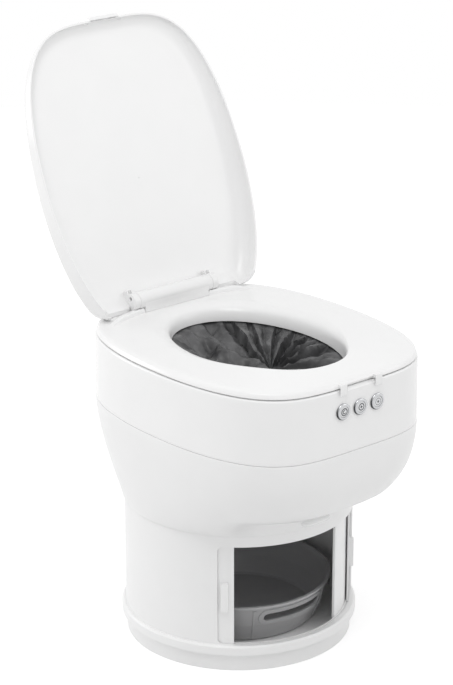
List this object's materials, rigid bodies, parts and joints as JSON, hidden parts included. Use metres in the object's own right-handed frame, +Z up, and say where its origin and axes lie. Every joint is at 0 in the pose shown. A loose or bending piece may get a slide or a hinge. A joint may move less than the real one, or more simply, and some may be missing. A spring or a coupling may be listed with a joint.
{
  "type": "dry flush toilet",
  "caption": "Portable dry flush toilet: liner cassette under a hinged seat and lid, sealing unit in the bowl, and a waste bucket in a round pedestal with sliding doors.",
  "frame": {"origin": "middle of the round foot, at floor level", "axes": "+Z up; -Y towards the user who faces the front of the toilet; +X to that user's right"},
  "size_m": [0.3724, 0.567, 0.8475],
  "materials": {
    "white_gloss": "glossy injection-moulded white plastic",
    "white_satin": "satin injection-moulded white plastic",
    "rubber_foot": "black rubber pad",
    "bucket_grey": "smooth mid-grey plastic",
    "film": "dark grey liner film",
    "black_plastic": "black moulded plastic",
    "sheet_steel": "zinc-plated sheet steel",
    "steel": "ground steel rod",
    "jaw_aluminium": "extruded aluminium bar",
    "roller_rubber": "grey silicone sleeve",
    "gear_plastic": "natural acetal",
    "motor_can": "plated motor can",
    "battery_case": "dark blue shrink wrap over a plastic case",
    "button_white": "glossy off-white button cap",
    "bezel_chrome": "dark chrome ring",
    "switch_black": "black tactile switch body",
    "board_green": "green circuit board"
  },
  "bodies": {
    "stand": {"upper_band_shell": "white_gloss", "base_plinth": "white_satin", "base_tray": "white_satin", "pedestal_shell": "white_satin", "lower_bowl_shell": "white_satin", "front_grip": "white_satin", "upper_door_track": "white_satin", "door_post": "white_satin", "rubber_feet": "rubber_foot", "film_bag": "film", "film_tray": "black_plastic", "film_store": "black_plastic", "jaw_rear_bar": "black_plastic", "power_inlet": "black_plastic", "left_side_plate": "sheet_steel", "right_side_plate": "sheet_steel", "chassis_plate": "sheet_steel", "seat_hinge_pins": "steel", "jaw_guide_rods": "steel", "chassis_screws": "steel", "fixed_jaw": "jaw_aluminium", "jaw_motor": "motor_can", "roller_motor": "motor_can", "battery_pack": "battery_case", "button_bezels": "bezel_chrome", "button_switches": "switch_black", "control_board": "board_green"},
    "left_door": {"left_door": "white_satin", "left_door_knob": "white_satin"},
    "right_door": {"right_door": "white_satin", "right_door_knob": "white_satin"},
    "bucket": {"waste_bucket": "bucket_grey"},
    "seat": {"seat_plate": "white_gloss", "lid_hinge_cover": "white_gloss", "lid_hinge_pin": "steel", "seat_clips": "white_gloss"},
    "lid": {"lid_shell": "white_gloss"},
    "power_key": {"power_button": "button_white"},
    "cover_key": {"cover_button": "button_white"},
    "flush_key": {"flush_button": "button_white"},
    "jaw_carriage": {"moving_jaw": "jaw_aluminium"},
    "screw": {"jaw_screw": "steel"},
    "front_feed": {"front_roller_shaft": "steel", "front_roller": "roller_rubber", "front_roller_gear": "gear_plastic"},
    "rear_feed": {"rear_roller_shaft": "steel", "rear_roller": "roller_rubber", "rear_roller_gear": "gear_plastic"}
  },
  "joints": [
    {"name": "left_door_slide", "type": "hinge", "parent": "stand", "child": "left_door", "pos_m": [0, 0, 0.12], "axis": [0, 0, 1], "range_deg": [0, 42.2]},
    {"name": "right_door_slide", "type": "hinge", "parent": "stand", "child": "right_door", "pos_m": [0, 0, 0.12], "axis": [0, 0, 1], "range_deg": [-42.2, 0]},
    {"name": "bucket_lift", "type": "slide", "parent": "stand", "child": "bucket", "axis": [0, 0, 1], "range_m": [0, 0.04]},
    {"name": "seat_hinge", "type": "hinge", "parent": "stand", "child": "seat", "pos_m": [0, 0.19, 0.4466], "axis": [1, 0, 0], "range_deg": [-60, 0]},
    {"name": "lid_hinge", "type": "hinge", "parent": "seat", "child": "lid", "pos_m": [0, 0.1486, 0.476], "axis": [1, 0, 0], "range_deg": [0, 115]},
    {"name": "power_press", "type": "slide", "parent": "stand", "child": "power_key", "axis": [0, 1, 0], "range_m": [0, 0.0012], "stiffness_N_per_m": 600, "springref_m": -0.0008},
    {"name": "cover_press", "type": "slide", "parent": "stand", "child": "cover_key", "axis": [0, 1, 0], "range_m": [0, 0.0012], "stiffness_N_per_m": 600, "springref_m": -0.0008},
    {"name": "flush_press", "type": "slide", "parent": "stand", "child": "flush_key", "axis": [0, 1, 0], "range_m": [0, 0.0012], "stiffness_N_per_m": 600, "springref_m": -0.0008},
    {"name": "jaw_close", "type": "slide", "parent": "stand", "child": "jaw_carriage", "axis": [0, 1, 0], "range_m": [-0.012, 0]},
    {"name": "screw_spin", "type": "hinge", "parent": "stand", "child": "screw", "pos_m": [0.062, 0, 0.374], "axis": [0, 1, 0], "range_deg": [-1080, 0]},
    {"name": "front_feed_spin", "type": "hinge", "parent": "stand", "child": "front_feed", "pos_m": [0, -0.0655, 0.338], "axis": [1, 0, 0], "continuous": true},
    {"name": "rear_feed_spin", "type": "hinge", "parent": "stand", "child": "rear_feed", "pos_m": [0, -0.0385, 0.338], "axis": [1, 0, 0], "continuous": true}
  ],
  "couplings": [
    {"joint": "screw_spin", "follows": "jaw_close", "rad_per_m": 1570.8},
    {"joint": "rear_feed_spin", "follows": "front_feed_spin", "ratio": -1}
  ]
}
